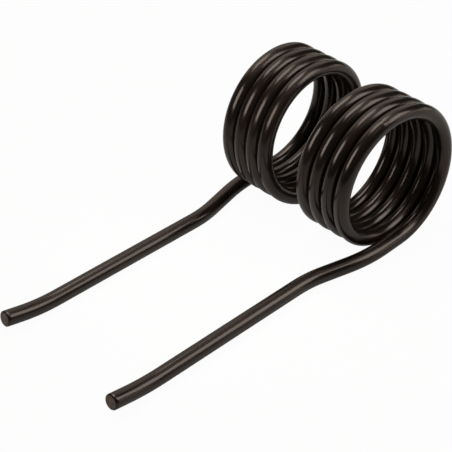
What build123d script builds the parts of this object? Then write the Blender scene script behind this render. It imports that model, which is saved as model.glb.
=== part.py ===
from build123d import *
import os
from math import atan, ceil, cos, degrees, pi, sin

# Baler pick-up tine: a double torsion spring bent from one length of round spring-steel wire.
# A prong leads into a close-wound coil, a hairpin crosses to the second coil, and that coil
# ends in the second prong. The right half is made first and the left half mirrors it.
#
# Frame, in millimetres: +X runs along the coil axis from the left coil to the right one, the
# prongs point to -Y and +Z is up. The origin is the middle of the coil axis, where the tine
# bar's centre line runs. The tine lies at rest on the bottoms of its coils and on its prongs.

# Driving dimensions: the wire and the coils
wire_d = 6.0
coil_mean_d = 52.5      # coil diameter between wire centres
coil_turns = 4.25       # turns of each coil, so that its inner end points up at the back
turn_gap = 0.27         # daylight between neighbouring turns
coil_gap = 8.4          # clear gap between the two coils, for the fixing bolt
arcs_per_turn = 4       # a turn is this many tangent arcs, each ending on the true helix

# Driving dimensions: each prong, from the bottom of its coil to its tip. A run is measured
# between the corners of the unrounded path, and an angle is from straight ahead.
root_run = 17.2         # leaves the coil on its tangent
slant_run = 25.9        # leans in towards the other prong
prong_run = 79.0        # the long straight
tip_run = 15.0          # turned up and cut off square
slant_in = 14.1         # degrees
prong_out = 0.6         # degrees
tip_out = 2.3           # degrees
tip_rise = 11.0         # degrees
root_bend_r = 60.0      # bend radii at the wire's centre
prong_bend_r = 46.0
tip_bend_r = 82.0
end_ease = 0.35         # broken edge round each cut end

# Sizes that follow from them
coil_r = coil_mean_d / 2
pitch = wire_d + turn_gap
outer_x = (coil_gap + wire_d) / 2 + coil_turns * pitch
lead_angle = degrees(atan(pitch / (pi * coil_mean_d)))


def heading(out, rise=0.0):
    """Unit vector that points ahead, turned outwards and then up by these degrees."""
    return Vector(0, -1, 0).rotate(Axis.X, -rise).rotate(Axis.Z, out)


def coil_point(turns):
    """Wire centre on the right coil, this many turns inwards from where the prong leaves it."""
    angle = 2 * pi * turns
    return Vector(outer_x - pitch * turns, coil_r * sin(angle), -coil_r * cos(angle))


def hairpin_crown(end, way):
    """Middle of the hairpin, whose bend leaves the coil's inner end along its tangent."""
    climb = Vector(0, way.Y, way.Z)
    rise = end.X * (1 + way.X) / climb.length
    return Vector(0, end.Y, end.Z) + climb.normalized() * rise


with BuildPart() as tine:
    # Centre line of the right half, from the prong's tip to the crown of the hairpin
    with BuildLine() as centre_line:
        root = coil_point(0)
        root_corner = root + heading(lead_angle) * root_run
        slant_corner = root_corner + heading(-slant_in) * slant_run
        tip_corner = slant_corner + heading(prong_out) * prong_run
        tip = tip_corner + heading(tip_out, tip_rise) * tip_run
        FilletPolyline(
            tip, tip_corner, slant_corner, root_corner, root,
            radius=[tip_bend_r, prong_bend_r, root_bend_r],
        )
        end, way = root, root - root_corner
        coil_arcs = ceil(coil_turns * arcs_per_turn)
        for number in range(1, coil_arcs + 1):
            arc = TangentArc(end, coil_point(coil_turns * number / coil_arcs), tangent=way)
            end, way = arc @ 1, arc % 1
        TangentArc(end, hairpin_crown(end, way), tangent=way)

    with BuildSketch(Plane(origin=tip, z_dir=tip_corner - tip)):
        Circle(wire_d / 2)
    sweep(path=centre_line.wire())
    cut_end = tine.faces().sort_by(Axis.Y)[0]
    chamfer(cut_end.edges(), end_ease)
    mirror(about=Plane.YZ)

tine.part.label = "tine"
os.makedirs("parts", exist_ok=True)
export_step(tine.part, "parts/tine.step")
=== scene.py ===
# Looks of a baler pick-up tine: the bent wire with its enamel, and the studio that lights it.
from math import atan, ceil, cos, pi, radians, sin, tan

import bmesh
import bpy
from bpy.props import FloatProperty, IntProperty, PointerProperty, StringProperty
from bpy.types import Operator, Panel, PropertyGroup
from mathutils import Matrix, Vector, noise


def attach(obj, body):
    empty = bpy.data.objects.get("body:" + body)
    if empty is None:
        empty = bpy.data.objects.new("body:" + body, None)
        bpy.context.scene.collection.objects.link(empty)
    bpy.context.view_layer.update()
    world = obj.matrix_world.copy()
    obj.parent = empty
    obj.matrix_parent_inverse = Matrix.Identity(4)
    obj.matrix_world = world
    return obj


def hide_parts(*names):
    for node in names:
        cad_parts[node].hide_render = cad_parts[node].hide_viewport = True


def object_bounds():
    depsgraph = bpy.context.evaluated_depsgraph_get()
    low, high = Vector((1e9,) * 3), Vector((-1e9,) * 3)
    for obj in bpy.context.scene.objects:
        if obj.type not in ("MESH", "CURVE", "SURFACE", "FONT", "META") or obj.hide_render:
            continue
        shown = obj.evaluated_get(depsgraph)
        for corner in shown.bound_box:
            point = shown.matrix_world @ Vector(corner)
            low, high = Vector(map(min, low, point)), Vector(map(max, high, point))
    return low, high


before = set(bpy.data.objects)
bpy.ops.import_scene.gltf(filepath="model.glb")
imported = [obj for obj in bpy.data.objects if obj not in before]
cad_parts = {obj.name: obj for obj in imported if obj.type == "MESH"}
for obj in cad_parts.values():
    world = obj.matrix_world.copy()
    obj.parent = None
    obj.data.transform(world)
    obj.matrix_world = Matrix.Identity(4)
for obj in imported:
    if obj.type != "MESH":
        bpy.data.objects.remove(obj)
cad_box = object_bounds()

bl_info = {
    "name": "Baler pick-up tine",
    "version": (1, 0, 0),
    "blender": (4, 5, 0),
    "location": "View3D > Sidebar > Tine",
    "description": "Bends a double torsion spring from one round wire, paints it and sets it in a studio",
    "category": "Add Mesh",
}

MM = 0.001
WIRE_PLACE = "wire_mm"    # attribute: a point's place on the wire before it was bent, in mm
LUMP_MM = (-1.62, 2.52, 1471.2)    # place of a small lump of paint on the right coil's outer turn
LUMP_RADIUS_MM, LUMP_HEIGHT_MM = 1.6, 0.15
LUMP_TURN = 0.551    # how many turns inwards from the prong it lies
LOOKED_AT_MM = (-14.4904, -43.2660, -23.7266)    # what the camera looks at
ENAMEL_IOR = 1.43
ENAMEL_TINT = "#FFF0EA"    # the enamel mirrors a little warmer than the lamps are


def length_size(name, description, default):
    """A length in metres that a user can change."""
    return FloatProperty(
        name=name, description=description, default=default, unit="LENGTH", subtype="DISTANCE", precision=5
    )


def angle_size(name, description, default):
    """An angle that a user can change. The default is in degrees."""
    return FloatProperty(
        name=name, description=description, default=radians(default), unit="ROTATION", subtype="ANGLE"
    )


class TineSizes(PropertyGroup):
    """Sizes of the bent wire. They are those of the frame, in metres."""

    wire: length_size("Wire", "Diameter of the round wire", 6.0 * MM)
    coil: length_size("Coil", "Diameter of a coil between wire centres", 52.5 * MM)
    turns: FloatProperty(name="Turns", description="Turns of each coil", default=4.25)
    turn_gap: length_size("Turn gap", "Daylight between neighbouring turns", 0.27 * MM)
    coil_gap: length_size("Coil gap", "Clear gap between the two coils", 8.4 * MM)
    root_run: length_size("Root run", "From the coil to the first corner", 17.2 * MM)
    slant_run: length_size("Slant run", "The run that leans in", 25.9 * MM)
    prong_run: length_size("Prong run", "The long straight", 79.0 * MM)
    tip_run: length_size("Tip run", "The turned-up end", 15.0 * MM)
    slant_in: angle_size("Slant in", "How far the slant leans in", 14.1)
    prong_out: angle_size("Prong out", "How far the long straight leans out", 0.6)
    tip_out: angle_size("Tip out", "How far the tip leans out", 2.3)
    tip_rise: angle_size("Tip rise", "How far the tip turns up", 11.0)
    root_bend: length_size("Root bend", "Bend radius at the first corner", 60.0 * MM)
    prong_bend: length_size("Prong bend", "Bend radius at the second corner", 46.0 * MM)
    tip_bend: length_size("Tip bend", "Bend radius before the tip", 82.0 * MM)
    end_ease: length_size("End ease", "Rounding of the edge round each cut end", 0.55 * MM)
    ring_step: length_size("Ring step", "Longest step between rings of the mesh", 1.6 * MM)
    ring_turn: angle_size("Ring turn", "Largest turn between rings of the mesh", 4.5)
    sides: IntProperty(name="Sides", description="Sides round the wire", default=44)


class TineFinish(PropertyGroup):
    """Colours of the wire, as sRGB hex values."""

    enamel: StringProperty(name="Enamel", description="Black enamel", default="#15110E")
    enamel_thin: StringProperty(name="Thin enamel", description="Enamel where it is thin", default="#241B15")
    cut_paint: StringProperty(name="Cut end", description="Thin paint on a sheared end", default="#746557")
    # Painted shade: the colour that the cut face is painted towards its rim, where the eased edge shades it
    cut_rim_shade: StringProperty(name="Cut rim", description="Thicker paint round its edge", default="#4A4037")


class TineStudio(PropertyGroup):
    """The studio: its colours as sRGB hex values, and where the camera stands."""

    floor: StringProperty(name="Floor", description="Matt white board", default="#E2E2E0")
    lamp: StringProperty(name="Lamp", description="Light of the softboxes", default="#FFF9F2")
    card: StringProperty(name="Card", description="Cards and cloth that the gloss shows", default="#FFEEDE")
    azimuth: angle_size("Azimuth", "From straight ahead of the prongs towards +X", 48.3752)
    elevation: angle_size("Elevation", "Above the horizon", 37.0437)
    roll: angle_size("Roll", "Turn of the picture about its middle", -2.0584)
    distance: length_size("Distance", "From the camera to the point it looks at", 566.488 * MM)
    lens: FloatProperty(name="Lens", description="Focal length in mm on a 36 mm sensor", default=118.7278)


# The bent wire

def ahead(out, rise=0.0):
    """Unit vector along the prongs, turned outwards and then up by these angles."""
    return Vector((sin(out) * cos(rise), -cos(out) * cos(rise), sin(rise)))


def steps(sizes, length, turn=0.0):
    """How many rings a stretch of this length and turn needs."""
    return max(1, ceil(length / sizes.ring_step), ceil(turn / sizes.ring_turn))


def straight(sizes, start, end):
    """Points from start to end, without the first."""
    count = steps(sizes, (end - start).length)
    return [start.lerp(end, number / count) for number in range(1, count + 1)]


def bend(sizes, start, centre, end):
    """Points along an arc about centre from start to end, without the first."""
    arm, last_arm = start - centre, end - centre
    turn = arm.angle(last_arm)
    count = steps(sizes, turn * arm.length, turn)
    axis = arm.cross(last_arm)
    return [centre + Matrix.Rotation(turn * number / count, 3, axis) @ arm for number in range(1, count + 1)]


def rounded_path(sizes, corners, radii):
    """Points along the path through these corners, with each inner corner rounded."""
    points = [corners[0]]
    for before, corner, after, radius in zip(corners, corners[1:], corners[2:], radii):
        back, on = (before - corner).normalized(), (after - corner).normalized()
        half_turn = (pi - back.angle(on)) / 2
        centre = corner + (back + on).normalized() * radius / cos(half_turn)
        start, end = (corner + way * radius * tan(half_turn) for way in (back, on))
        points += straight(sizes, points[-1], start)
        points += bend(sizes, start, centre, end)
    return points + straight(sizes, points[-1], corners[-1])


def hairpin(sizes, coil_end, climb, lead):
    """Points of half the hairpin, from its crown to the coil's inner end, without the last."""
    radius = coil_end.x / cos(lead)
    centre = Vector((0, coil_end.y, coil_end.z)) - climb * coil_end.x * tan(lead)
    turn = pi / 2 - lead
    count = steps(sizes, turn * radius, turn)
    angles = [turn * number / count for number in range(count)]
    return [centre + radius * (Vector((sin(a), 0, 0)) + climb * cos(a)) for a in angles]


def coil_turns(sizes):
    """Where the rings of a coil lie, in turns from its outer end. They are even, and closer together
    where the right coil has the lump of paint."""
    near_lump, finer = 0.0145, 5    # turns either side of the lump, and how much closer the rings are
    whole = 2 * pi * sizes.turns
    count = steps(sizes, whole * sizes.coil / 2, whole)
    step, found = sizes.turns / count, []
    for number in range(count):
        start = sizes.turns - number * step
        parts = finer if abs(start - LUMP_TURN) < near_lump else 1
        found += [start - step * part / parts for part in range(parts)]
    return found


def right_half(sizes):
    """Points along the wire's middle from the crown of the hairpin to the right tip."""
    radius, pitch = sizes.coil / 2, sizes.wire + sizes.turn_gap
    lead = atan(pitch / (pi * sizes.coil))
    outer_x = (sizes.coil_gap + sizes.wire) / 2 + sizes.turns * pitch

    def coil_point(turn):
        return Vector((outer_x - pitch * turn, radius * sin(2 * pi * turn), -radius * cos(2 * pi * turn)))

    coil_end, last = coil_point(sizes.turns), 2 * pi * sizes.turns
    points = hairpin(sizes, coil_end, Vector((0, cos(last), sin(last))), lead)
    points += [coil_point(turn) for turn in coil_turns(sizes)]

    root = coil_point(0)
    root_corner = root + ahead(lead) * sizes.root_run
    slant_corner = root_corner + ahead(-sizes.slant_in) * sizes.slant_run
    tip_corner = slant_corner + ahead(sizes.prong_out) * sizes.prong_run
    tip = tip_corner + ahead(sizes.tip_out, sizes.tip_rise) * sizes.tip_run
    corners = [root, root_corner, slant_corner, tip_corner, tip]
    return points + rounded_path(sizes, corners, [sizes.root_bend, sizes.prong_bend, sizes.tip_bend])


def frames(points):
    """Each point with two directions across the wire, carried along it without twist."""
    ways = [b - a for a, b in zip(points, points[1:])]
    either_side = zip(ways[:1] + ways, ways + ways[-1:])
    tangents = [(a.normalized() + b.normalized()).normalized() for a, b in either_side]
    side = tangents[0].cross(Vector((0, 0, 1))).normalized()
    found = []
    for number, (point, tangent) in enumerate(zip(points, tangents)):
        if number:
            side = tangents[number - 1].rotation_difference(tangent) @ side
        side = (side - tangent * side.dot(tangent)).normalized()
        found.append((point, side, tangent.cross(side), tangent))
    return found


def uneven(along, angle, radius):
    """How far the wire falls short of its radius, as drawing and dipping leave it."""
    wave_mm, most = 14.0, 0.008    # a wave's length along the wire, and its depth as a share of the radius
    around = 0.6    # how much it changes round the wire
    place = Vector((cos(angle) * around, sin(angle) * around, along / MM / wave_mm))
    return radius * most * (noise.noise(place) + 1) / 2


def lump(x, y, along):
    """How far the lump of paint stands out at this place on the wire."""
    away_mm = (Vector((x, y, along)) / MM - Vector(LUMP_MM)).length
    near = max(0.0, 1 - away_mm / LUMP_RADIUS_MM)
    return LUMP_HEIGHT_MM * MM * near ** 2 * (3 - 2 * near)


class WireMesh:
    """Rings of vertices along the wire, each with its place on the straight wire."""

    def __init__(self, sides):
        self.mesh = bmesh.new()
        self.place = self.mesh.verts.layers.float_vector.new(WIRE_PLACE)
        self.angles = [2 * pi * number / sides for number in range(sides)]

    def vertex(self, where, x, y, along):
        """One vertex, with its place on the straight wire in mm."""
        made = self.mesh.verts.new(where)
        made[self.place] = Vector((x, y, along)) / MM
        return made

    def ring(self, frame_here, along, radius, shift=0.0):
        """A ring of this radius, moved along the wire by shift."""
        point, side, up, tangent = frame_here
        made = []
        for angle in self.angles:
            x, y = radius * cos(angle), radius * sin(angle)
            reach = radius - uneven(along, angle, radius) + lump(x, y, along)
            arm = side * cos(angle) + up * sin(angle)
            made.append(self.vertex(point + arm * reach + tangent * shift, x, y, along + shift))
        return made

    def skin(self, rings):
        """Quads between neighbouring rings."""
        for ring, after in zip(rings, rings[1:]):
            for number in range(len(ring)):
                following = (number + 1) % len(ring)
                self.mesh.faces.new((ring[number], ring[following], after[following], after[number]))

    def close_end(self, frame_here, along, radius, edge):
        """A flat cut face of this radius inside the edge ring of an end."""
        inner_shares = (0.72, 0.4)    # radii of the rings inside it, as shares of its own
        first_face, outer = len(self.mesh.faces), edge
        for share in inner_shares:
            inner = self.ring(frame_here, along, radius * share)
            self.skin([outer, inner])
            outer = inner
        middle = self.vertex(frame_here[0], 0, 0, along)
        for number, vertex in enumerate(outer):
            self.mesh.faces.new((middle, vertex, outer[(number + 1) % len(outer)]))
        self.mesh.faces.ensure_lookup_table()
        for face in self.mesh.faces[first_face:]:
            face.material_index = 1


def wire_rings(wire, sizes, framed, lengths):
    """The rings of the whole wire, with the eased edge of each cut end."""
    radius, ease, ease_steps = sizes.wire / 2, sizes.end_ease, 4
    quarter = [pi / 2 * number / ease_steps for number in range(ease_steps)]
    first = [
        wire.ring(framed[0], lengths[0], radius - ease * (1 - sin(a)), ease * (1 - cos(a))) for a in quarter
    ]
    body = [
        wire.ring(here, along, radius)
        for here, along in zip(framed, lengths)
        if ease < along < lengths[-1] - ease
    ]
    last = [
        wire.ring(framed[-1], lengths[-1], radius - ease * (1 - sin(a)), -ease * (1 - cos(a)))
        for a in reversed(quarter)
    ]
    return first + body + last


def bend_wire(sizes):
    """The mesh of the wire, from the left tip to the right one."""
    right = right_half(sizes)
    points = [Vector((-p.x, p.y, p.z)) for p in reversed(right[1:])] + right
    framed, lengths = frames(points), [0.0]
    for before, after in zip(points, points[1:]):
        lengths.append(lengths[-1] + (after - before).length)

    wire = WireMesh(sizes.sides)
    rings = wire_rings(wire, sizes, framed, lengths)
    wire.skin(rings)
    face_radius = sizes.wire / 2 - sizes.end_ease
    for end in (0, -1):
        wire.close_end(framed[end], lengths[end], face_radius, rings[end])

    bmesh.ops.recalc_face_normals(wire.mesh, faces=wire.mesh.faces)
    mesh = bpy.data.meshes.new("tine_wire")
    wire.mesh.to_mesh(mesh)
    wire.mesh.free()
    mesh.shade_smooth()
    return mesh


# Materials

def linear(colour):
    """Linear colour of an sRGB hex value."""
    parts = [int(colour[at:at + 2], 16) / 255 for at in (1, 3, 5)]
    return [p / 12.92 if p <= 0.04045 else ((p + 0.055) / 1.055) ** 2.4 for p in parts] + [1.0]


def add(tree, kind, inputs=None, **settings):
    """Adds a node with its settings, and gives each input a value or a link. An input goes by its name
    or its number, such as 6 and 7 for the two colours of a Mix node."""
    made = tree.nodes.new(kind)
    for name, value in settings.items():
        setattr(made, name, value)
    for name, value in (inputs or {}).items():
        if isinstance(value, bpy.types.NodeSocket):
            tree.links.new(value, made.inputs[name])
        else:
            made.inputs[name].default_value = value
    return made


def new_material(name):
    """An empty material and its node tree."""
    material = bpy.data.materials.new(name)
    material.use_nodes = True
    material.node_tree.nodes.clear()
    return material, material.node_tree


def enamel_material(finish):
    """Black enamel, dipped on drawn spring-steel wire. A thick glossy film with a brown cast: it runs
    a little uneven along the wire, dimples finely as it dries and shows faint lines of the die below.
    The small lump that it has dried to in one place is in the mesh."""
    material, tree = new_material("dipped black enamel on drawn wire")
    # Die lines are finer than this on the real wire. They are drawn as coarse as they need to show
    run_mm, dimple_mm, die_line_mm, smudge_mm = 9.0, 1.6, 0.45, 7.0
    run_depth_mm, dimple_depth_mm, die_line_depth_mm = 0.08, 0.0012, 0.001
    clearest, dullest = 0.14, 0.27    # roughness where the film is clean and where it is smudged
    place = add(tree, "ShaderNodeAttribute", attribute_type="GEOMETRY", attribute_name=WIRE_PLACE)
    wire = place.outputs["Vector"]

    # Runs and die lines are this many times as long along the wire as across it
    stretch = {"runs": 3.0, "die_lines": 60.0}
    along_runs = add(
        tree, "ShaderNodeVectorMath", {0: wire, 1: (1, 1, 1 / stretch["runs"])}, operation="MULTIPLY"
    )
    along_lines = add(
        tree, "ShaderNodeVectorMath", {0: wire, 1: (1, 1, 1 / stretch["die_lines"])}, operation="MULTIPLY"
    )
    runs = add(
        tree, "ShaderNodeTexNoise", {"Vector": along_runs.outputs[0], "Scale": 1 / run_mm, "Detail": 1.0}
    )
    dimples = add(tree, "ShaderNodeTexNoise", {"Vector": wire, "Scale": 1 / dimple_mm, "Detail": 2.0})
    die_lines = add(
        tree, "ShaderNodeTexNoise",
        {"Vector": along_lines.outputs[0], "Scale": 1 / die_line_mm, "Detail": 2.0},
    )
    smudges = add(
        tree, "ShaderNodeTexNoise",
        {"Vector": along_runs.outputs[0], "Scale": 1 / smudge_mm, "Detail": 6.0, "Roughness": 0.65},
    )

    bumped = None
    bumps = (
        (runs.outputs["Fac"], run_depth_mm), (die_lines.outputs["Fac"], die_line_depth_mm),
        (dimples.outputs["Fac"], dimple_depth_mm),
    )
    for height, depth_mm in bumps:
        inputs = {"Height": height, "Distance": depth_mm * MM, "Strength": 1.0}
        if bumped:
            inputs["Normal"] = bumped
        bumped = add(tree, "ShaderNodeBump", inputs).outputs["Normal"]

    thin = add(
        tree, "ShaderNodeMapRange", {"Value": smudges.outputs["Fac"], "From Min": 0.45, "From Max": 0.75}
    )
    colour = add(
        tree, "ShaderNodeMix",
        {0: thin.outputs["Result"], 6: linear(finish.enamel), 7: linear(finish.enamel_thin)},
        data_type="RGBA",
    )
    rough = add(
        tree, "ShaderNodeMapRange",
        {
            "Value": smudges.outputs["Fac"], "From Min": 0.3, "From Max": 0.75,
            "To Min": clearest, "To Max": dullest,
        },
    )
    shader = add(
        tree, "ShaderNodeBsdfPrincipled",
        {
            "Base Color": colour.outputs[2], "Roughness": rough.outputs["Result"], "IOR": ENAMEL_IOR,
            "Specular Tint": linear(ENAMEL_TINT), "Normal": bumped,
        },
    )
    add(tree, "ShaderNodeOutputMaterial", {"Surface": shader.outputs[0]})
    return material


def cut_material(finish):
    """Sheared spring steel under a thin coat of the same enamel. The torn grain of the shear shows
    through it as a duller, browner face. Its rim is painted darker, as painted shade of the eased edge."""
    material, tree = new_material("sheared steel under thin enamel")
    grain_mm, shear_line_mm, rim_shade_start_mm, rim_shade_full_mm = 0.7, 0.5, 2.3, 2.7
    grain_depth_mm, shear_depth_mm, torn_roughness = 0.05, 0.06, 0.48
    drawn_out = 0.15    # the shear lines' scale along themselves, as a share of the scale across them
    place = add(tree, "ShaderNodeAttribute", attribute_type="GEOMETRY", attribute_name=WIRE_PLACE)
    wire = place.outputs["Vector"]
    grain = add(tree, "ShaderNodeTexNoise", {"Vector": wire, "Scale": 1 / grain_mm, "Detail": 5.0})
    across = add(tree, "ShaderNodeVectorMath", {0: wire, 1: (1, drawn_out, drawn_out)}, operation="MULTIPLY")
    lines = add(tree, "ShaderNodeTexNoise", {"Vector": across.outputs[0], "Scale": 1 / shear_line_mm})
    face = add(tree, "ShaderNodeVectorMath", {0: wire, 1: (1, 1, 0)}, operation="MULTIPLY")
    from_middle = add(tree, "ShaderNodeVectorMath", {0: face.outputs[0]}, operation="LENGTH")
    # Painted shade: the cut face is painted darker towards its rim, where the eased edge shades it
    rim = add(
        tree, "ShaderNodeMapRange",
        {"Value": from_middle.outputs["Value"], "From Min": rim_shade_start_mm, "From Max": rim_shade_full_mm},
        interpolation_type="SMOOTHSTEP",
    )
    blotch = add(
        tree, "ShaderNodeMapRange", {"Value": grain.outputs["Fac"], "From Min": 0.35, "From Max": 0.7}
    )
    # The larger of the painted rim shade and the grain's random blotches
    dark = add(
        tree, "ShaderNodeMath", {0: rim.outputs["Result"], 1: blotch.outputs["Result"]}, operation="MAXIMUM"
    )
    colour = add(
        tree, "ShaderNodeMix",
        {0: dark.outputs[0], 6: linear(finish.cut_paint), 7: linear(finish.cut_rim_shade)},
        data_type="RGBA",
    )
    shear = add(
        tree, "ShaderNodeBump",
        {"Height": lines.outputs["Fac"], "Distance": shear_depth_mm * MM, "Strength": 1.0},
    )
    torn = add(
        tree, "ShaderNodeBump",
        {
            "Height": grain.outputs["Fac"], "Distance": grain_depth_mm * MM, "Strength": 1.0,
            "Normal": shear.outputs[0],
        },
    )
    shader = add(
        tree, "ShaderNodeBsdfPrincipled",
        {
            "Base Color": colour.outputs[2], "Roughness": torn_roughness, "IOR": ENAMEL_IOR,
            "Specular Tint": linear(ENAMEL_TINT), "Normal": torn.outputs[0],
        },
    )
    add(tree, "ShaderNodeOutputMaterial", {"Surface": shader.outputs[0]})
    return material


# The studio

def by_ray(tree, seen, mirrored, other):
    """A level for what the camera sees, one for what a gloss or glass shows and one for other light."""
    path = add(tree, "ShaderNodeLightPath")
    by_gloss = add(
        tree, "ShaderNodeMath",
        {0: path.outputs["Is Glossy Ray"], 1: path.outputs["Is Transmission Ray"]}, operation="MAXIMUM",
    )
    unseen = add(
        tree, "ShaderNodeMath",
        {0: by_gloss.outputs[0], 1: mirrored - other, 2: other}, operation="MULTIPLY_ADD",
    )
    level = add(
        tree, "ShaderNodeMath",
        {0: path.outputs["Is Camera Ray"], 1: seen - other, 2: unseen.outputs[0]}, operation="MULTIPLY_ADD",
    )
    return level.outputs[0]


def board_material(studio):
    """Matt white board. The eye sees it lit evenly to white with a faint shadow. The paint mirrors it
    nearer to how the lamps light it, darker below the coils."""
    material, tree = new_material("matt white board")
    board = add(tree, "ShaderNodeBsdfDiffuse", {"Color": linear(studio.floor)})
    white = add(tree, "ShaderNodeEmission", {"Strength": 1.0})
    even_share = by_ray(tree, seen=0.96, mirrored=0.1, other=0.0)
    mixed = add(tree, "ShaderNodeMixShader", {0: even_share, 1: board.outputs[0], 2: white.outputs[0]})
    add(tree, "ShaderNodeOutputMaterial", {"Surface": mixed.outputs[0]})
    return material


def card_material(studio, name, level):
    """Studio card or cloth that the gloss of the paint shows at this level, with a warm cast."""
    material, tree = new_material(name)
    card = add(tree, "ShaderNodeEmission", {"Color": linear(studio.card), "Strength": level})
    add(tree, "ShaderNodeOutputMaterial", {"Surface": card.outputs[0]})
    return material


def towards(azimuth, elevation):
    """Unit vector from the object. Azimuth 0 is ahead of the prongs and 90 degrees is +X."""
    return Vector((sin(azimuth) * cos(elevation), -cos(azimuth) * cos(elevation), sin(elevation)))


def link_object(name, data):
    """A new object in the scene."""
    made = bpy.data.objects.new(name, data)
    bpy.context.scene.collection.objects.link(made)
    return made


def make_floor(studio, height):
    """A wide board that the tine lies on."""
    half_width = 2.5
    mesh = bpy.data.meshes.new("white_board")
    corners = [
        (x * half_width, y * half_width, height) for x, y in ((-1, -1), (1, -1), (1, 1), (-1, 1))
    ]
    mesh.from_pydata(corners, [], [(0, 1, 2, 3)])
    mesh.materials.append(board_material(studio))
    link_object("white_board", mesh)


def only_in_gloss(made):
    """Keeps a stage object out of the picture and the light: only reflections show it."""
    made.visible_camera = made.visible_diffuse = made.visible_shadow = False


def make_walls(studio, height, level):
    """A dome of dark cloth round the board."""
    dome_radius, rim_margin = 2.2, 0.01
    shape = bmesh.new()
    bmesh.ops.create_uvsphere(shape, u_segments=48, v_segments=24, radius=dome_radius)
    lower_half = [vertex for vertex in shape.verts if vertex.co.z < -rim_margin]
    bmesh.ops.delete(shape, geom=lower_half, context="VERTS")
    mesh = bpy.data.meshes.new("dark_walls")
    shape.to_mesh(mesh)
    shape.free()
    mesh.materials.append(card_material(studio, "dark studio cloth", level))
    walls = link_object("dark_walls", mesh)
    walls.location.z = height
    only_in_gloss(walls)


def make_card(studio, name, azimuth, elevation, distance, width, height, level):
    """A flat card that faces the coils. Its direction is in degrees and its sizes are in metres."""
    mesh = bpy.data.meshes.new(name)
    x, y = width / 2, height / 2
    mesh.from_pydata([(-x, -y, 0), (x, -y, 0), (x, y, 0), (-x, y, 0)], [], [(0, 1, 2, 3)])
    mesh.materials.append(card_material(studio, "matt studio card", level))
    card = link_object(name, mesh)
    way = towards(radians(azimuth), radians(elevation))
    card.location = way * distance
    card.rotation_euler = way.to_track_quat("Z", "Y").to_euler()
    only_in_gloss(card)


def make_softbox(studio, name, aim, azimuth, elevation, distance, width, height, radiance):
    """A soft area lamp at this distance from the point that it looks at. Its direction is in degrees
    and its sizes are in metres."""
    lamp = bpy.data.lights.new(name, "AREA")
    lamp.shape = "RECTANGLE"
    lamp.size, lamp.size_y = width, height
    lamp.energy = radiance * pi * width * height
    lamp.color = linear(studio.lamp)[:3]
    softbox = link_object(name, lamp)
    way = towards(radians(azimuth), radians(elevation))
    softbox.location = Vector(aim) + way * distance
    softbox.rotation_euler = way.to_track_quat("Z", "Y").to_euler()
    softbox.visible_camera = False


def make_world():
    """A white surround for the eye and for reflections, and a low even light on the object."""
    world = bpy.data.worlds.new("white_surround")
    world.use_nodes = True
    tree = world.node_tree
    tree.nodes.clear()
    sky = add(tree, "ShaderNodeBackground", {"Strength": by_ray(tree, seen=1.0, mirrored=1.0, other=0.1)})
    add(tree, "ShaderNodeOutputWorld", {"Surface": sky.outputs[0]})
    bpy.context.scene.world = world


def make_camera(studio):
    """The camera at the photograph's angle."""
    looked_at = Vector(LOOKED_AT_MM) * MM
    camera = bpy.data.cameras.new("camera")
    camera.lens = studio.lens
    camera.clip_start, camera.clip_end = 0.01, 20
    made = link_object("camera", camera)
    back = towards(studio.azimuth, studio.elevation)
    level_right = Vector((cos(studio.azimuth), sin(studio.azimuth), 0))
    level_up = back.cross(level_right)
    right = level_right * cos(studio.roll) + level_up * sin(studio.roll)
    up = back.cross(right)
    made.matrix_world = Matrix.Translation(looked_at + back * studio.distance) @ Matrix(
        (right, up, back)
    ).transposed().to_4x4()
    bpy.context.scene.camera = made


# Operators, panel and registration

class TINE_OT_wire(Operator):
    """Bends the wire of the tine and paints it"""

    bl_idname = "tine.wire"
    bl_label = "Bend the wire"

    def execute(self, context):
        mesh = bend_wire(context.scene.tine_sizes)
        finish = context.scene.tine_finish
        mesh.materials.append(enamel_material(finish))
        mesh.materials.append(cut_material(finish))
        piece = link_object("tine_wire", mesh)
        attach(piece, "root")
        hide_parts("tine")
        return {"FINISHED"}


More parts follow.
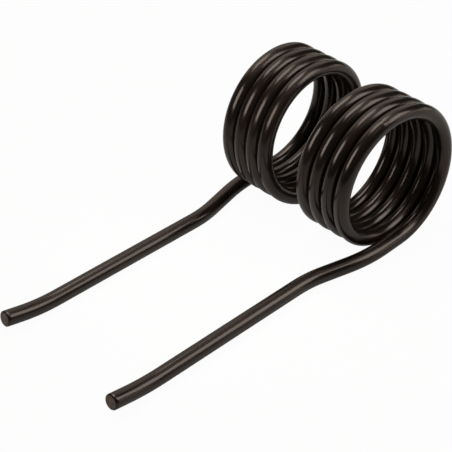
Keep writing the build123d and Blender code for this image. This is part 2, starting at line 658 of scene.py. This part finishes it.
class TINE_OT_stage(Operator):
    """Makes the floor, the lamps, the surround and the camera"""

    bl_idname = "tine.stage"
    bl_label = "Set up the studio"

    def execute(self, context):
        studio = context.scene.tine_studio
        floor_height = cad_box[0].z
        make_floor(studio, floor_height)
        # Cloth and cards that only the gloss of the paint shows
        make_walls(studio, floor_height, level=0.06)
        make_card(
            studio, "grey_side_card",
            azimuth=-126, elevation=35, distance=1.6, width=2.3, height=1.36, level=0.94,
        )
        make_card(
            studio, "low_back_card",
            azimuth=146, elevation=6, distance=1.8, width=1.7, height=0.42, level=1.7,
        )
        make_card(
            studio, "high_back_card",
            azimuth=128, elevation=70, distance=1.7, width=1.7, height=0.5, level=1.1,
        )
        # Softboxes, which light the tine and the board too
        coil_fronts, middle = (-0.004, -0.023, 0.018), (0, 0, 0)
        make_softbox(
            studio, "front_softbox", coil_fronts,
            azimuth=-10, elevation=37, distance=0.082, width=0.048, height=0.054, radiance=6.0,
        )
        make_softbox(
            studio, "back_softbox", middle,
            azimuth=127, elevation=37, distance=0.75, width=0.36, height=0.46, radiance=5.0,
        )
        make_softbox(
            studio, "overhead_softbox", middle,
            azimuth=-112, elevation=72, distance=1.3, width=0.7, height=0.78, radiance=5.3,
        )
        make_world()
        make_camera(studio)
        context.scene.view_settings.view_transform = "Standard"
        return {"FINISHED"}


class TINE_PT_panel(Panel):
    """Lists what makes the tine and its studio"""

    bl_label = "Tine"
    bl_idname = "TINE_PT_panel"
    bl_space_type = "VIEW_3D"
    bl_region_type = "UI"
    bl_category = "Tine"

    def draw(self, context):
        scene = context.scene
        wire_groups, stage_groups = (scene.tine_sizes, scene.tine_finish), (scene.tine_studio,)
        for operator, groups in ((TINE_OT_wire, wire_groups), (TINE_OT_stage, stage_groups)):
            box = self.layout.box()
            box.operator(operator.bl_idname)
            for group in groups:
                for name in group.__annotations__:
                    box.prop(group, name)


CLASSES = (TineSizes, TineFinish, TineStudio, TINE_OT_wire, TINE_OT_stage, TINE_PT_panel)


def register():
    for cls in CLASSES:
        bpy.utils.register_class(cls)
    bpy.types.Scene.tine_sizes = PointerProperty(type=TineSizes)
    bpy.types.Scene.tine_finish = PointerProperty(type=TineFinish)
    bpy.types.Scene.tine_studio = PointerProperty(type=TineStudio)


def unregister():
    del bpy.types.Scene.tine_studio
    del bpy.types.Scene.tine_finish
    del bpy.types.Scene.tine_sizes
    for cls in reversed(CLASSES):
        bpy.utils.unregister_class(cls)


def main():
    """Makes the pieces in order."""
    register()
    bpy.ops.tine.wire()
    bpy.ops.tine.stage()


if __name__ == "__main__":
    main()
